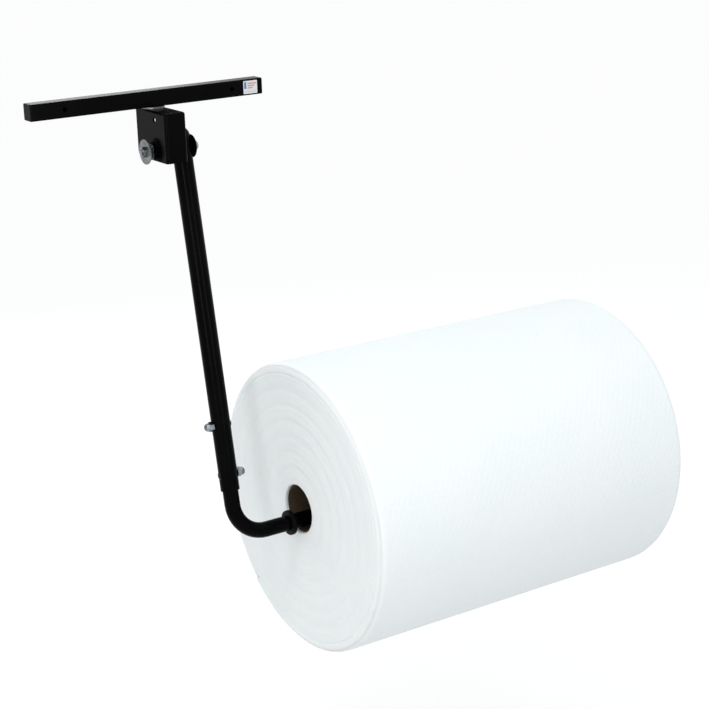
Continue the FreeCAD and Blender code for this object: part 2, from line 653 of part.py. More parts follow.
def wrap_roll():
    """Wound wrap with soft outer edges, banded ends and an eased hole round the core."""
    roll = rod_x(ROLL_START, ROLL_LENGTH, ROLL_DIAMETER / 2)
    roll = roll.makeFillet(ROLL_EDGE, [e for e in roll.Edges if e.Closed])
    roll = roll.cut(rod_x(ROLL_START, ROLL_LENGTH, CORE_RADIUS + PRESS_GAP))
    hole_reach = CORE_RADIUS + 2 * ROLL_INNER_EDGE
    hole_rims = [e for e in roll.Edges if e.Closed and e.BoundBox.YMax < hole_reach]
    roll = roll.makeFillet(ROLL_INNER_EDGE, hole_rims)
    return placed_on_roll(roll.cut(end_grooves()))


PARTS = {
    "mount_bar": mount_bar,
    "bar_cap_left": lambda: bar_cap(-1),
    "bar_cap_right": lambda: bar_cap(1),
    "bar_label": bar_label,
    "swivel_bolt": swivel_bolt,
    "swivel_nut": swivel_nut,
    "swivel_washer": swivel_washer,
    "swivel_head_washer": swivel_head_washer,
    "pivot_bracket": pivot_bracket,
    "pivot_bolt": pivot_bolt,
    "pivot_head_washer": pivot_head_washer,
    "friction_disc": friction_disc,
    "tension_spring": tension_spring,
    "fender_washer": fender_washer,
    "pivot_lock_nut": pivot_lock_nut,
    "pivot_bushing": pivot_bushing,
    "upper_arm_tube": upper_arm_tube,
    "arm_top_cap": arm_top_cap,
    "lower_arm_tube": lower_arm_tube,
    "cross_bolts": cross_bolts,
    "domed_nuts": domed_nuts,
    "retaining_collar": retaining_collar,
    "spindle_bushing_near": lambda: spindle_bushing(SLEEVE_START),
    "spindle_bushing_far": lambda: spindle_bushing(SLEEVE_END - BUSHING_LENGTH),
    "spindle_sleeve": spindle_sleeve,
    "spindle_end_cap": spindle_end_cap,
    "wrap_core": wrap_core,
    "wrap_roll": wrap_roll,
}

os.makedirs("parts", exist_ok=True)
for name, make in PARTS.items():
    solid = make()
    if not solid.isValid():
        print(name, "is not valid")
    solid.exportStep("parts/" + name + ".step")
print_spring_gap()
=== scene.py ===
import math

import bmesh
import bpy
import numpy as np
from mathutils import Matrix, Vector, noise


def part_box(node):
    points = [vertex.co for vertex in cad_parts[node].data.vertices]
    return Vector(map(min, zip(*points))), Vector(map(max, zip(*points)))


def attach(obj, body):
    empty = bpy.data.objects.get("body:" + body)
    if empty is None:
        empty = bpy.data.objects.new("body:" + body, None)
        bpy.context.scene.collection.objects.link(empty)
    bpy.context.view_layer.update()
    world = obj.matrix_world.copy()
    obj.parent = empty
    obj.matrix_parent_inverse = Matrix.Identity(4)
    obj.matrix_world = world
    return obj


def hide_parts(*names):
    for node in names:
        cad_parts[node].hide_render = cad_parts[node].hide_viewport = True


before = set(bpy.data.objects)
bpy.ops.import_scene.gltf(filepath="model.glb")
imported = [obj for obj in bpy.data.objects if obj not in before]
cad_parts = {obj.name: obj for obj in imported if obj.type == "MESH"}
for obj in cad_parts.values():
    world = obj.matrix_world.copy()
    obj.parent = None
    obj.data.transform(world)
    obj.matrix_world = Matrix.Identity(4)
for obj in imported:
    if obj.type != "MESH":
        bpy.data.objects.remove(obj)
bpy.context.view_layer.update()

# Camera, at the photograph's viewing angle. Lengths are metres.
CAMERA_PLACE = (-1.1761, -2.3936, 0.3977)
CAMERA_HEADING = -32.888
CAMERA_ELEVATION = 17.224
CAMERA_ROLL = -1.727
CAMERA_LENS_MM = 87.6
SENSOR_MM = 36.0

# Surroundings
FLOOR_HEIGHT = -1.3
FLOOR_SIZE = 80.0
FLOOR_COLOUR = (0.74, 0.74, 0.74)
FLOOR_LIFT = 0.285
WORLD_LIGHT = (0.74, 0.745, 0.75)
WHITE = (1.0, 1.0, 1.0)
COOL_WHITE = (0.93, 1.0, 1.0)

# Wound wrap
LAYER = 0.0036
ROLL_EDGE = 0.013
BUBBLE_COLUMNS = 53
BUBBLE_ROWS = 152
STEPS_PER_COLUMN = 4
STEPS_PER_ROW = 3
BUBBLE_RADIUS = 0.0048
BUBBLE_TOP = 0.0038
BUBBLE_SLOPE = 0.0028
BUBBLE_DIP = 0.0007
TAIL_ANGLE = math.radians(-50)
TAIL_DROP_TURN = math.radians(120)
TAIL_FLAT = 0.030
TAIL_EDGE_THINNING = 0.6
ARC_STEPS = 4
RIM_ROWS = 6
RIM_GAP = 0.0001
RIM_FADE = 0.6
RIM_FADE_WIDTH = 0.002
BORE_EASE = 0.0012
BORE_EASE_WIDTH = 0.0015
WELD = 2e-6
END_STEPS = 240
END_STEPS_PER_LAYER = 4
LAYER_GROOVE = 0.00025
TURN_DRIFT = 0.0003
DRIFT_WAVES = ((0.3, 1.7, 0.0), (0.2, 4.3, 1.1))
CRINKLE = 0.00025
CRINKLE_LIFT = 0.8
CRINKLE_SCALES = (38, 95)
RIM_GROOVE_INSET = 0.0165
RIM_GROOVE_HALF_WIDTH = 0.0024
RIM_GROOVE_DEPTH = 0.0012
END_BANDS = 7
BAND_GROOVE_DEPTH = 0.0009
BAND_GROOVE_SHARE = 0.3

roll_low, roll_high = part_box("wrap_roll")
core_low, core_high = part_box("wrap_core")
ROLL_Y = (roll_low.y + roll_high.y) / 2
ROLL_Z = (roll_low.z + roll_high.z) / 2
ROLL_RADIUS = (roll_high.z - roll_low.z) / 2
CORE_RADIUS = (core_high.z - core_low.z) / 2
WINDING_BORE = CORE_RADIUS + 0.0001
RIM_GROOVE_RADIUS = ROLL_RADIUS - RIM_GROOVE_INSET
END_BAND_WIDTH = (RIM_GROOVE_RADIUS - CORE_RADIUS) / END_BANDS
UV_NAME = "web"
CREASE = math.radians(30)
END_SUBSURFACE = 0.7
END_LIGHT_REACH = (0.006, 0.007, 0.0075)

# Colours, as written in the shaders
COAT_DARK, COAT_RUBBED = (0.0009, 0.0009, 0.0011), (0.0020, 0.0020, 0.0021)
PLASTIC_DARK, PLASTIC_LIGHT = (0.0016, 0.0016, 0.0018), (0.0032, 0.0032, 0.0034)
RUBBER_DARK, RUBBER_DUST = (0.0018, 0.0018, 0.0018), (0.006, 0.0055, 0.0055)
# Cardboard browns are much darker than real cardboard, as painted shade for the inside of the core's
# bore. The fibres, blotches, seams and plies they draw are the paper's own.
PAPER_DARK_SHADED, PAPER_LIGHT_SHADED = (0.060, 0.045, 0.028), (0.098, 0.074, 0.047)
PAPER_BLOTCH_SHADED, PAPER_SEAM_SHADED = (0.062, 0.044, 0.026), (0.05, 0.034, 0.02)
FILM_DULL, FILM_PALE = (0.845, 0.905, 0.912), (0.88, 0.925, 0.928)
FILM_BUBBLE, FILM_WELD = (0.825, 0.885, 0.897), (0.78, 0.83, 0.84)
EDGE_DULL, EDGE_PALE = (0.85, 0.90, 0.908), (0.875, 0.915, 0.92)
EDGE_GRAIN, EDGE_LINE = (0.88, 0.92, 0.925), (0.66, 0.72, 0.75)
LABEL_GROUND, LABEL_BLUE = (0.66, 0.70, 0.70), (0.10, 0.16, 0.42)
LABEL_RED, LABEL_GREY = (0.60, 0.24, 0.26), (0.40, 0.43, 0.45)

# Label
LABEL_CORNER = 0.0012
CORNER_STEPS = 6


def make_camera():
    data = bpy.data.cameras.new("camera")
    data.lens = CAMERA_LENS_MM
    data.sensor_width = SENSOR_MM
    data.clip_end = 200
    camera = bpy.data.objects.new("camera", data)
    turn = Matrix.Rotation(math.radians(CAMERA_HEADING), 4, "Z")
    tilt = Matrix.Rotation(math.radians(90 - CAMERA_ELEVATION), 4, "X")
    roll = Matrix.Rotation(math.radians(CAMERA_ROLL), 4, "Z")
    camera.matrix_world = Matrix.Translation(CAMERA_PLACE) @ turn @ tilt @ roll
    bpy.context.scene.collection.objects.link(camera)
    bpy.context.scene.camera = camera


class Graph:
    """A material's node tree, with short calls for the nodes used here."""

    def __init__(self, name, colour, roughness, metallic=0.0, specular=0.5):
        self.material = bpy.data.materials.new(name)
        self.material.use_nodes = True
        self.tree = self.material.node_tree
        self.shader = self.tree.nodes["Principled BSDF"]
        self.set("Base Color", (*colour, 1.0))
        self.set("Roughness", roughness)
        self.set("Metallic", metallic)
        self.set("Specular IOR Level", specular)
        self.place = self.node("ShaderNodeTexCoord").outputs["Object"]

    def set(self, socket, value):
        target = self.shader.inputs[socket]
        if isinstance(value, bpy.types.NodeSocket):
            self.tree.links.new(value, target)
        else:
            target.default_value = value

    def node(self, kind, **settings):
        made = self.tree.nodes.new(kind)
        for name, value in settings.items():
            setattr(made, name, value)
        return made

    def feed(self, target, value):
        if isinstance(value, bpy.types.NodeSocket):
            self.tree.links.new(value, target)
        else:
            target.default_value = value

    def math(self, operation, a, b=0.0, clamp=False):
        made = self.node("ShaderNodeMath", operation=operation, use_clamp=clamp)
        self.feed(made.inputs[0], a)
        self.feed(made.inputs[1], b)
        return made.outputs[0]

    def vector(self, operation, a, b=(0, 0, 0)):
        made = self.node("ShaderNodeVectorMath", operation=operation)
        self.feed(made.inputs[0], a)
        self.feed(made.inputs[1], b)
        return made.outputs["Value"] if operation == "LENGTH" else made.outputs["Vector"]

    def noise(self, scale, detail=2.0, place=None, stretch=None):
        made = self.node("ShaderNodeTexNoise")
        made.inputs["Scale"].default_value = scale
        made.inputs["Detail"].default_value = detail
        source = self.place if place is None else place
        if stretch is not None:
            source = self.vector("MULTIPLY", source, stretch)
        self.feed(made.inputs["Vector"], source)
        return made.outputs["Fac"]

    def spread(self, value, low, high, to_low, to_high):
        """Maps value from low..high to to_low..to_high, kept within them."""
        made = self.node("ShaderNodeMapRange")
        for socket, number in zip(made.inputs[1:5], (low, high, to_low, to_high)):
            socket.default_value = number
        self.feed(made.inputs[0], value)
        return made.outputs[0]

    def mix(self, factor, a, b):
        made = self.node("ShaderNodeMix", data_type="RGBA")
        self.feed(made.inputs["Factor"], factor)
        self.feed(made.inputs[6], a if isinstance(a, bpy.types.NodeSocket) else (*a, 1.0))
        self.feed(made.inputs[7], b if isinstance(b, bpy.types.NodeSocket) else (*b, 1.0))
        return made.outputs[2]

    def bump(self, height, distance, strength=1.0, normal=None):
        made = self.node("ShaderNodeBump")
        made.inputs["Strength"].default_value = strength
        made.inputs["Distance"].default_value = distance
        self.feed(made.inputs["Height"], height)
        if normal is not None:
            self.feed(made.inputs["Normal"], normal)
        self.set("Normal", made.outputs["Normal"])
        return made.outputs["Normal"]


def powder_coat():
    """Satin black coating with fine orange peel and faint rubbed patches."""
    g = Graph("powder_coat", (0.0013, 0.0013, 0.0015), 0.24, specular=0.03)
    patches = g.noise(9.0, 4.0)
    g.set("Base Color", g.mix(g.spread(patches, 0.45, 0.75, 0, 1), COAT_DARK, COAT_RUBBED))
    grain = g.noise(650.0, 2.0)
    speckle = g.spread(grain, 0.3, 0.7, -0.03, 0.03)
    g.set("Roughness", g.math("ADD", g.spread(patches, 0.3, 0.7, 0.19, 0.27), speckle))
    g.bump(grain, 0.0001, 0.25, g.bump(g.noise(140.0, 2.0), 0.0003, 0.08))
    return g.material


def moulded_plastic():
    """Black plastic with a fine moulded grain."""
    g = Graph("moulded_plastic", (0.0022, 0.0022, 0.0024), 0.35, specular=0.04)
    grain = g.noise(420.0, 3.0)
    g.set("Base Color", g.mix(g.spread(grain, 0.3, 0.7, 0, 1), PLASTIC_DARK, PLASTIC_LIGHT))
    g.set("Roughness", g.spread(grain, 0.3, 0.7, 0.3, 0.42))
    g.bump(grain, 0.0002, 0.25)
    return g.material


def black_rubber():
    """Matt rubber with a little dust on it."""
    g = Graph("black_rubber", (0.003, 0.003, 0.003), 0.7, specular=0.04)
    dust = g.noise(60.0, 5.0)
    g.set("Base Color", g.mix(g.spread(dust, 0.5, 0.8, 0, 1), RUBBER_DARK, RUBBER_DUST))
    g.set("Roughness", g.spread(dust, 0.3, 0.7, 0.6, 0.8))
    g.bump(g.noise(500.0, 2.0), 0.0003, 0.3)
    return g.material


def plated_steel(name, dark, light, rough_low, rough_high):
    """Plated metal, slightly clouded, with fine scratches that run one way."""
    g = Graph(name, light, rough_low, metallic=1.0)
    cloud = g.noise(120.0, 4.0)
    scratches = g.noise(260.0, 3.0, stretch=(1.0, 7.0, 1.0))
    shade = g.math("ADD", g.math("MULTIPLY", cloud, 0.7), g.math("MULTIPLY", scratches, 0.3))
    g.set("Base Color", g.mix(g.spread(shade, 0.35, 0.65, 0, 1), dark, light))
    g.set("Roughness", g.spread(cloud, 0.3, 0.7, rough_high, rough_low))
    g.bump(g.noise(900.0, 2.0), 0.0001, 0.3)
    return g.material


def polar(g):
    """Radius and turn (0 to 1) about the roll's axis."""
    local = g.vector("SUBTRACT", g.place, (0, ROLL_Y, ROLL_Z))
    parts = g.node("ShaderNodeSeparateXYZ")
    g.feed(parts.inputs[0], local)
    radius = g.vector("LENGTH", g.vector("MULTIPLY", local, (0, 1, 1)))
    angle = g.math("ARCTAN2", parts.outputs["Z"], parts.outputs["Y"])
    return parts.outputs["X"], radius, g.math("DIVIDE", angle, 2 * math.pi)


def cardboard():
    """Spiral-wound paper tube: helical seams, fibres and ring-shaped plies at its ends, all in a brown
    darkened far below real cardboard as painted shade for the inside of the bore.
    """
    # Base brown darkened as painted shade of the bore's inside.
    g = Graph("cardboard", (0.12, 0.085, 0.052), 0.9, specular=0.1)
    along, radius, turn = polar(g)
    helix = g.math("FRACT", g.math("SUBTRACT", g.math("MULTIPLY", along, 9.0), turn))
    seam = g.math("LESS_THAN", g.math("ABSOLUTE", g.math("SUBTRACT", helix, 0.5)), 0.006)
    fibres = g.noise(900.0, 4.0, stretch=(0.12, 1.0, 1.0))
    blotches = g.noise(30.0, 3.0)
    paper = g.mix(g.spread(fibres, 0.3, 0.7, 0, 1), PAPER_DARK_SHADED, PAPER_LIGHT_SHADED)
    paper = g.mix(g.spread(blotches, 0.35, 0.65, 0, 0.5), paper, PAPER_BLOTCH_SHADED)
    plies = g.math("FRACT", g.math("MULTIPLY", radius, 2600.0))
    paper = g.mix(g.math("MULTIPLY", g.spread(plies, 0.0, 0.25, 1, 0), 0.35), paper, PAPER_SEAM_SHADED)
    g.set("Base Color", g.mix(g.math("MULTIPLY", seam, 0.6), paper, PAPER_SEAM_SHADED))
    g.bump(g.math("SUBTRACT", fibres, seam), 0.0003, 0.5)
    return g.material


def bubble_distance(g):
    """Distance in metres from the middle of the nearest bubble, from the web's own coordinates."""
    web = g.node("ShaderNodeUVMap", uv_map=UV_NAME).outputs["UV"]
    cell = (2.0, 1.0, 0.0)
    row = 2 * math.pi * ROLL_RADIUS / BUBBLE_ROWS
    column = (roll_high.x - roll_low.x - 2 * ROLL_EDGE) / BUBBLE_COLUMNS
    size = (2 * row, column, 0.0)
    scaled = g.vector("DIVIDE", web, cell)
    offsets = []
    for shift in (0.5, 0.0):
        moved = g.vector("ADD", scaled, (shift, shift, 0.0))
        inside = g.vector("SUBTRACT", g.vector("FRACTION", moved), (0.5, 0.5, 0.0))
        offsets.append(g.vector("LENGTH", g.vector("MULTIPLY", inside, size)))
    return g.math("MINIMUM", *offsets)


def wrap_side():
    """Clear film over bubbles: pale, faintly blue-green, with a thin weld ring round each bubble."""
    g = Graph("wrap_side", (0.88, 0.915, 0.92), 0.5, specular=0.25)
    distance = bubble_distance(g)
    off_ring = g.math("ABSOLUTE", g.math("SUBTRACT", distance, BUBBLE_RADIUS))
    ring = g.spread(off_ring, 0.0, 0.0007, 1, 0)
    inside = g.spread(distance, 0.0, BUBBLE_RADIUS, 1, 0)
    haze = g.noise(7.0, 4.0)
    film = g.mix(g.spread(haze, 0.3, 0.7, 0, 1), FILM_DULL, FILM_PALE)
    film = g.mix(g.math("MULTIPLY", inside, 0.25), film, FILM_BUBBLE)
    film = g.mix(g.math("MULTIPLY", ring, 0.35), film, FILM_WELD)
    g.set("Base Color", film)
    g.set("Roughness", g.spread(haze, 0.3, 0.7, 0.42, 0.55))
    wrinkles = g.noise(55.0, 3.0, stretch=(0.35, 1.0, 1.0))
    g.bump(ring, 0.0002, 0.5, g.bump(wrinkles, 0.0012, 0.10))
    return g.material


def wrap_end():
    """Cut edges of the wound layers: pale rings that vary along each turn."""
    g = Graph("wrap_end", (0.86, 0.895, 0.905), 0.7, specular=0.15)
    g.set("Subsurface Weight", END_SUBSURFACE)
    g.set("Subsurface Radius", END_LIGHT_REACH)
    g.set("Subsurface Scale", 1.0)
    _, radius, turn = polar(g)
    layers = g.math("DIVIDE", g.math("SUBTRACT", radius, WINDING_BORE), LAYER)
    wander = g.math("MULTIPLY", g.math("SUBTRACT", g.noise(110.0, 3.0), 0.5), 0.9)
    phase = g.math("FRACT", g.math("ADD", g.math("SUBTRACT", layers, turn), wander))
    line = g.spread(g.math("ABSOLUTE", g.math("SUBTRACT", phase, 0.5)), 0.32, 0.5, 0, 1)
    mottle = g.noise(14.0, 4.0)
    grain = g.noise(160.0, 3.0)
    edge = g.mix(g.spread(mottle, 0.3, 0.7, 0, 1), EDGE_DULL, EDGE_PALE)
    edge = g.mix(g.spread(grain, 0.35, 0.75, 0, 0.35), edge, EDGE_GRAIN)
    g.set("Base Color", g.mix(g.math("MULTIPLY", line, 0.07), edge, EDGE_LINE))
    g.bump(g.math("ADD", g.math("MULTIPLY", line, -1.0), grain), 0.0006, 0.2)
    return g.material


def between(g, value, low, high):
    """1 where the value lies between the two limits, else 0."""
    return g.math("MULTIPLY", g.math("GREATER_THAN", value, low), g.math("LESS_THAN", value, high))


def label_print(low, high):
    """White label with a blue band down one side and three pale red bars of unequal length."""
    g = Graph("label_print", (0.78, 0.80, 0.80), 0.3, specular=0.5)
    size = high - low
    local = g.vector("SUBTRACT", g.place, tuple(low))
    unit = g.vector("DIVIDE", local, (size.x, 1.0, size.z))
    parts = g.node("ShaderNodeSeparateXYZ")
    g.feed(parts.inputs[0], unit)
    across, up = parts.outputs["X"], parts.outputs["Z"]
    colour = LABEL_GROUND
    bars = [((0.06, 0.22), (0.40, 0.92), LABEL_BLUE)]
    bars += [((0.30, 0.92), (0.74, 0.84), LABEL_RED)]
    bars += [((0.30, 0.80), (0.57, 0.67), LABEL_RED)]
    bars += [((0.30, 0.66), (0.40, 0.50), LABEL_RED)]
    bars += [((0.06, 0.92), (0.14, 0.18), LABEL_GREY)]
    for sides, ends, ink in bars:
        wide, tall = between(g, across, *sides), between(g, up, *ends)
        colour = g.mix(g.math("MULTIPLY", wide, tall), colour, ink)
    g.set("Base Color", colour)
    g.bump(g.noise(300.0, 2.0), 0.0001, 0.2)
    return g.material


def dress(names, material):
    for name in names:
        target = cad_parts[name]
        if not target.material_slots:
            target.data.materials.append(material)
        for slot in target.material_slots:
            slot.material = material


def piece(name, mesh, body, material, stands_for=(), smooth=True):
    """A finished mesh becomes a piece that rides a body and stands for the nodes named."""
    made = bpy.data.objects.new(name, mesh)
    bpy.context.scene.collection.objects.link(made)
    mesh.materials.append(material)
    mesh.polygons.foreach_set("use_smooth", [smooth] * len(mesh.polygons))
    mesh.set_sharp_from_angle(angle=CREASE)
    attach(made, body)
    if stands_for:
        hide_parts(*stands_for)
    return made


def smooth_step(t):
    t = np.clip(t, 0, 1)
    return t * t * (3 - 2 * t)


def tail_drop(turned):
    """How far the web has sunk towards the layer below, turned radians after its loose end."""
    return LAYER * smooth_step((turned - (2 * math.pi - TAIL_DROP_TURN)) / TAIL_DROP_TURN)


def on_roll(x, radius, turned):
    """Points at radius about the roll's axis, turned radians on from the loose end."""
    angle = TAIL_ANGLE - turned
    y = ROLL_Y + radius * np.cos(angle)
    z = ROLL_Z + radius * np.sin(angle)
    return np.stack(np.broadcast_arrays(x, y, z), -1)


def edge_inset(depth):
    """How far in from the end the roll's rounded edge is at that depth below its surface."""
    return ROLL_EDGE - math.sqrt(ROLL_EDGE ** 2 - (ROLL_EDGE - depth) ** 2)


def grid_faces(rows, columns, wrap_columns=False):
    """Quads of a grid of points, row by row."""
    last = columns if wrap_columns else columns - 1
    row, column = np.meshgrid(np.arange(rows - 1), np.arange(last), indexing="ij")
    following = (column + 1) % columns
    corners = [row * columns + column, row * columns + following]
    corners += [(row + 1) * columns + following, (row + 1) * columns + column]
    return np.stack(corners, -1).reshape(-1, 4)


def mesh_from(name, points, faces):
    mesh = bpy.data.meshes.new(name)
    mesh.from_pydata(points.tolist(), [], faces if isinstance(faces, list) else faces.tolist())
    return mesh


def bubble_relief(turned_step, column_step):
    """Depth below the surface at a grid step: film lies high on the bubbles and dips between them."""
    row = turned_step / STEPS_PER_ROW
    column = column_step / STEPS_PER_COLUMN
    row_size = 2 * math.pi * ROLL_RADIUS / BUBBLE_ROWS
    column_size = (roll_high.x - roll_low.x - 2 * ROLL_EDGE) / BUBBLE_COLUMNS
    nearest = np.full(np.broadcast(row, column).shape, 1.0)
    for shift in (0.0, 0.5):
        off_row = (row / 2 + shift + 0.5) % 1 - 0.5
        off_column = (column + shift + 0.5) % 1 - 0.5
        nearest = np.minimum(nearest, np.hypot(off_row * 2 * row_size, off_column * column_size))
    return BUBBLE_DIP * smooth_step((nearest - BUBBLE_TOP) / BUBBLE_SLOPE)


def outer_turn():
    """The last turn of the web, one closed sheet whose loose end lies over its own start."""
    steps = BUBBLE_ROWS * STEPS_PER_ROW
    columns = BUBBLE_COLUMNS * STEPS_PER_COLUMN
    turned = np.linspace(0, 2 * math.pi, steps + 1)[:, None]
    flat_x = np.linspace(roll_low.x + ROLL_EDGE, roll_high.x - ROLL_EDGE, columns + 1)
    inset = edge_inset(LAYER)
    low_angle = math.acos((ROLL_EDGE - inset) / ROLL_EDGE)
    arc = np.linspace(low_angle, math.pi / 2, ARC_STEPS + 1)[:-1]
    arc_in = ROLL_EDGE * (1 - np.cos(arc))
    arc_down = ROLL_EDGE * (1 - np.sin(arc))
    x = np.concatenate([roll_low.x + arc_in, flat_x, (roll_high.x - arc_in)[::-1]])
    down = np.concatenate([arc_down, np.zeros(columns + 1), arc_down[::-1]])
    depth = np.zeros((steps + 1, len(x)))
    relief = bubble_relief(np.arange(steps + 1)[:, None], np.arange(columns + 1)[None, :])
    depth[:, ARC_STEPS:-ARC_STEPS] = relief
    near_tail = smooth_step(turned * ROLL_RADIUS / TAIL_FLAT)
    depth = depth * near_tail + (1 - near_tail) * TAIL_EDGE_THINNING * (LAYER - down)[None, :]
    radius = ROLL_RADIUS - down[None, :] - tail_drop(turned) - depth
    points = on_roll(x[None, :], radius, turned).reshape(-1, 3)
    rows, count = steps + 1, len(x)
    faces = grid_faces(rows, count).tolist()
    left = [r * count for r in range(rows)]
    right = [r * count + count - 1 for r in range(rows)]
    faces += [[left[r], left[r + 1], right[r + 1], right[r]] for r in range(rows - 1)]
    faces.append(list(range(count)))
    faces.append(list(range(count * rows - 1, count * (rows - 1) - 1, -1)))
    mesh = mesh_from("wrap_outer_turn", points, faces)
    add_web_coordinates(mesh, rows, count)
    close_and_face_out(mesh)
    return mesh


def add_web_coordinates(mesh, rows, count):
    """Web coordinates in bubble rows and columns, so that the surface pattern meets the relief."""
    layer = mesh.uv_layers.new(name=UV_NAME)
    loops = np.empty(len(mesh.loops), np.int32)
    mesh.loops.foreach_get("vertex_index", loops)
    row, column = loops // count, loops % count
    web = np.stack([row / STEPS_PER_ROW, (column - ARC_STEPS) / STEPS_PER_COLUMN], -1)
    layer.data.foreach_set("uv", web.astype(np.float32).ravel())


def close_and_face_out(mesh, weld=0.0):
    """Joins points nearer than weld, fills what is still open, and turns every face outwards."""
    made = bmesh.new()
    made.from_mesh(mesh)
    if weld:
        bmesh.ops.remove_doubles(made, verts=made.verts, dist=weld)
        bmesh.ops.dissolve_degenerate(made, edges=made.edges, dist=weld)
        open_edges = [edge for edge in made.edges if edge.is_boundary]
        bmesh.ops.holes_fill(made, edges=open_edges, sides=0)
    bmesh.ops.recalc_face_normals(made, faces=made.faces)
    made.to_mesh(mesh)
    made.free()


def valley(radius, middle, half_width, depth):
    """Depth of a soft ring groove at that radius."""
    return depth * smooth_step(1 - np.abs(radius - middle) / half_width)


def end_depth(radius, turned):
    """How deep a point of the wound end lies: grooves between bands and layers, and each turn's drift."""
    share = turned / (2 * math.pi)
    turns_out = (radius - WINDING_BORE) / LAYER - share
    along_web = np.floor(turns_out + 1e-6) + share
    depth = LAYER_GROOVE * np.cos(math.pi * turns_out) ** 4
    waves = [size * np.sin(rate * along_web + start) for size, rate, start in DRIFT_WAVES]
    depth = depth + TURN_DRIFT * (0.5 + waves[0] + waves[1])
    depth = depth + valley(radius, RIM_GROOVE_RADIUS, RIM_GROOVE_HALF_WIDTH, RIM_GROOVE_DEPTH)
    half_width = END_BAND_WIDTH * BAND_GROOVE_SHARE
    for band in range(1, END_BANDS):
        middle = RIM_GROOVE_RADIUS - band * END_BAND_WIDTH
        depth = depth + valley(radius, middle, half_width, BAND_GROOVE_DEPTH)
    return depth


def crinkled(point):
    """Uneven bending of the cut layers at a point of the end, at two scales."""
    place = Vector(point)
    coarse, fine = CRINKLE_SCALES
    return noise.noise(place * coarse) + 0.5 * noise.noise(place * fine)


def winding():
    """All the turns below the last one: spiral ends, rounded edges and the hole for the core."""
    outer = ROLL_RADIUS - ROLL_EDGE
    per_layer = END_STEPS_PER_LAYER
    rings = int(math.ceil((outer - WINDING_BORE) / LAYER)) * per_layer
    turned = np.linspace(0, 2 * math.pi, END_STEPS + 1)[None, :]
    ring = np.arange(-per_layer, rings + 1)[:, None]
    spiral = WINDING_BORE + LAYER * (ring / per_layer + turned / (2 * math.pi))
    rim = outer - tail_drop(turned)
    radius = np.clip(spiral, WINDING_BORE, rim)
    turned = turned + 0 * ring
    flat = on_roll(0.0, radius, turned)
    crinkle = np.apply_along_axis(crinkled, -1, flat)
    near_bore = 1 - smooth_step((radius - WINDING_BORE) / BORE_EASE_WIDTH)
    depth = end_depth(radius, turned) + BORE_EASE * near_bore
    inward = np.clip(depth + CRINKLE * (crinkle + CRINKLE_LIFT), 0, None)
    near_rim = smooth_step((radius - rim + RIM_FADE_WIDTH) / RIM_FADE_WIDTH)
    inward = inward * (1 - RIM_FADE * near_rim)
    turned = turned[:1]
    rows, count = radius.shape
    points, faces = [], []
    rim_places = []
    for direction, end in ((1, roll_low.x), (-1, roll_high.x)):
        x = end + direction * inward
        start = sum(len(p) for p in points)
        points.append(on_roll(x, radius, turned).reshape(-1, 3))
        faces += (grid_faces(rows, count) + start).tolist()
        rim_places.append(x[-1])
    inset = edge_inset(LAYER)
    top_angle = math.acos((ROLL_EDGE - inset) / ROLL_EDGE)
    start = sum(len(p) for p in points)
    arc = np.linspace(0, top_angle, RIM_ROWS)
    half = []
    for direction, end, rim_x in zip((1, -1), (roll_low.x, roll_high.x), rim_places):
        arc_in = ROLL_EDGE * (1 - np.cos(arc))[:, None]
        arc_up = ROLL_EDGE * np.sin(arc)[:, None]
        x = end + direction * arc_in + (rim_x[None, :] - end) * (1 - arc[:, None] / top_angle)
        high = outer + arc_up - tail_drop(turned) - RIM_GAP * arc[:, None] / top_angle
        half.append(on_roll(x, high, turned).reshape(RIM_ROWS, count, 3))
    loop = np.concatenate([half[0], half[1][::-1]])
    points.append(loop.reshape(-1, 3))
    faces += (grid_faces(2 * RIM_ROWS, count) + start).tolist()
    start = sum(len(p) for p in points)
    bore_ends = [points[0].reshape(rows, count, 3)[0], points[1].reshape(rows, count, 3)[0]]
    points.append(np.concatenate(bore_ends))
    faces += (grid_faces(2, count) + start).tolist()
    mesh = mesh_from("wrap_winding", np.concatenate(points), faces)
    close_and_face_out(mesh, weld=WELD)
    return mesh


def rounded_slab(low, high, corner):
    """Thin sheet with rounded corners in the XZ plane, between two Y planes."""
    outline = []
    centres = [(high.x - corner, high.z - corner, 0), (low.x + corner, high.z - corner, 90)]
    centres += [(low.x + corner, low.z + corner, 180), (high.x - corner, low.z + corner, 270)]
    for cx, cz, start in centres:
        for step in range(CORNER_STEPS + 1):
            angle = math.radians(start + 90 * step / CORNER_STEPS)
            outline.append((cx + corner * math.cos(angle), cz + corner * math.sin(angle)))
    points = [(x, low.y, z) for x, z in outline] + [(x, high.y, z) for x, z in outline]
    count = len(outline)
    faces = [list(range(count)), list(range(2 * count - 1, count - 1, -1))]
    faces += [[i, (i + 1) % count, count + (i + 1) % count, count + i] for i in range(count)]
    return mesh_from("label", np.array(points), faces)


def area_light(name, place, aim, width, height, radiance, colour=WHITE):
    data = bpy.data.lights.new(name, "AREA")
    data.shape = "RECTANGLE"
    data.size = width
    data.size_y = height
    data.energy = radiance * math.pi * width * height
    data.color = colour
    light = bpy.data.objects.new(name, data)
    direction = Vector(aim) - Vector(place)
    light.rotation_euler = direction.to_track_quat("-Z", "Y").to_euler()
    light.location = place
    light.visible_camera = False
    bpy.context.scene.collection.objects.link(light)


def overhead_sun(strength, spread, heading, height):
    """Very soft light from high up, the same over the whole floor."""
    data = bpy.data.lights.new("overhead", "SUN")
    data.energy = strength
    data.angle = math.radians(spread)
    light = bpy.data.objects.new("overhead", data)
    light.rotation_euler = (math.radians(90 - height), 0, math.radians(heading))
    bpy.context.scene.collection.objects.link(light)


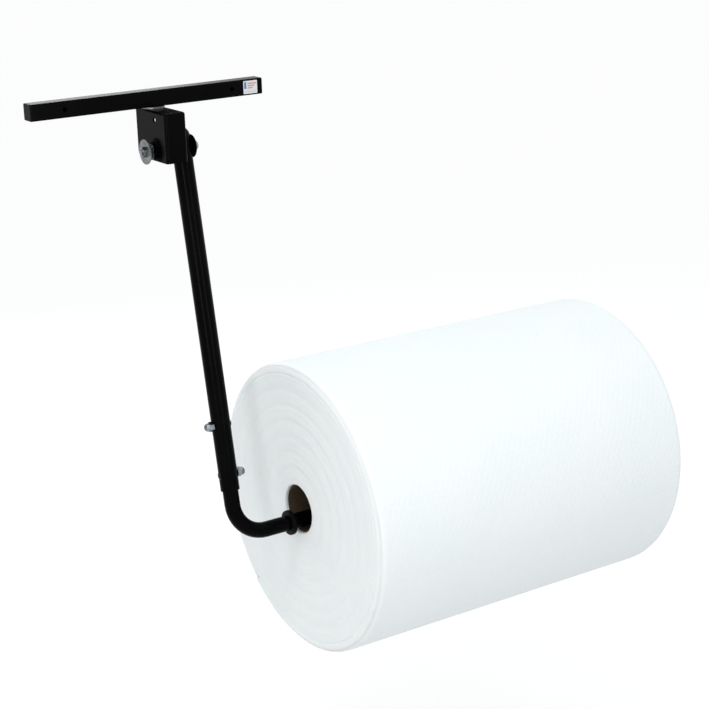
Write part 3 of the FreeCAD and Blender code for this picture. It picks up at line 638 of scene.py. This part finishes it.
def seen_directly(tree):
    """1 for rays from the camera or by way of a reflection or a clear surface, else 0."""
    path = tree.nodes.new("ShaderNodeLightPath")
    total = path.outputs["Is Camera Ray"]
    for name in ("Is Glossy Ray", "Is Transmission Ray"):
        larger = tree.nodes.new("ShaderNodeMath")
        larger.operation = "MAXIMUM"
        tree.links.new(total, larger.inputs[0])
        tree.links.new(path.outputs[name], larger.inputs[1])
        total = larger.outputs[0]
    return total


def make_world():
    world = bpy.data.worlds.new("studio")
    bpy.context.scene.world = world
    world.use_nodes = True
    tree = world.node_tree
    background = tree.nodes["Background"]
    background.inputs["Strength"].default_value = 1.0
    mix = tree.nodes.new("ShaderNodeMix")
    mix.data_type = "RGBA"
    mix.inputs[6].default_value = (*WORLD_LIGHT, 1.0)
    mix.inputs[7].default_value = (*WHITE, 1.0)
    tree.links.new(seen_directly(tree), mix.inputs["Factor"])
    tree.links.new(mix.outputs[2], background.inputs["Color"])


def make_floor():
    half = FLOOR_SIZE / 2
    corners = [(-half, -half), (half, -half), (half, half), (-half, half)]
    points = np.array([(x, y, FLOOR_HEIGHT) for x, y in corners])
    floor = bpy.data.objects.new("floor", mesh_from("floor", points, [[0, 1, 2, 3]]))
    bpy.context.scene.collection.objects.link(floor)
    g = Graph("floor", FLOOR_COLOUR, 0.9, specular=0.0)
    g.set("Emission Color", (*WHITE, 1.0))
    lift = g.math("MULTIPLY", seen_directly(g.tree), FLOOR_LIFT)
    g.set("Emission Strength", lift)
    floor.data.materials.append(g.material)


def make_lights():
    arm = (0.04, -0.10, -0.40)
    overhead_sun(strength=0.62, spread=80, heading=-25, height=72)
    area_light("left_strip", (-1.14, -1.16, -0.14), arm, width=0.20, height=0.62, radiance=9.0)
    area_light("right_strip", (0.34, -1.90, -0.16), arm, width=0.16, height=0.62, radiance=9.2)
    bar = (0, 0, 0)
    area_light("back_strip", (0.9, 2.7, 1.0), bar, 1.1, 0.7, radiance=5.0, colour=COOL_WHITE)
    area_light("top_card", (-0.9, -0.9, 1.6), (0, -0.1, -0.1), width=0.6, height=0.6, radiance=6.0)


make_camera()
make_world()
make_floor()
make_lights()

coat, plastic, rubber = powder_coat(), moulded_plastic(), black_rubber()
dull_zinc = plated_steel("dull_zinc", (0.15, 0.155, 0.155), (0.27, 0.275, 0.27), 0.3, 0.46)
zinc = plated_steel("zinc_plate", (0.06, 0.075, 0.09), (0.42, 0.46, 0.50), 0.12, 0.24)
spring_steel = plated_steel("spring_steel", (0.03, 0.045, 0.06), (0.12, 0.15, 0.18), 0.18, 0.3)
black_oxide = plated_steel("black_oxide", (0.006, 0.006, 0.006), (0.022, 0.020, 0.019), 0.3, 0.42)
dress(["mount_bar", "pivot_bracket", "upper_arm_tube", "lower_arm_tube"], coat)
dress(["bar_cap_left", "bar_cap_right", "arm_top_cap", "retaining_collar", "spindle_end_cap"], plastic)
dress(["spindle_sleeve", "spindle_bushing_near", "spindle_bushing_far", "pivot_bushing"], plastic)
dress(["friction_disc"], rubber)
dress(["swivel_bolt", "swivel_nut", "swivel_head_washer", "pivot_bolt", "pivot_lock_nut"], zinc)
dress(["domed_nuts"], zinc)
dress(["fender_washer", "swivel_washer", "pivot_head_washer"], dull_zinc)
dress(["tension_spring"], spring_steel)
dress(["cross_bolts"], black_oxide)
dress(["wrap_core"], cardboard())

piece("wrap_outer_turn", outer_turn(), "roll", wrap_side(), ["wrap_roll"])
piece("wrap_winding", winding(), "roll", wrap_end(), ["wrap_roll"])

label_low, label_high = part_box("bar_label")
label_mesh = rounded_slab(label_low, label_high, LABEL_CORNER)
label_ink = label_print(label_low, label_high)
piece("label_sticker", label_mesh, "mount", label_ink, ["bar_label"], smooth=False)

view = bpy.context.scene.view_settings
view.view_transform = "Standard"
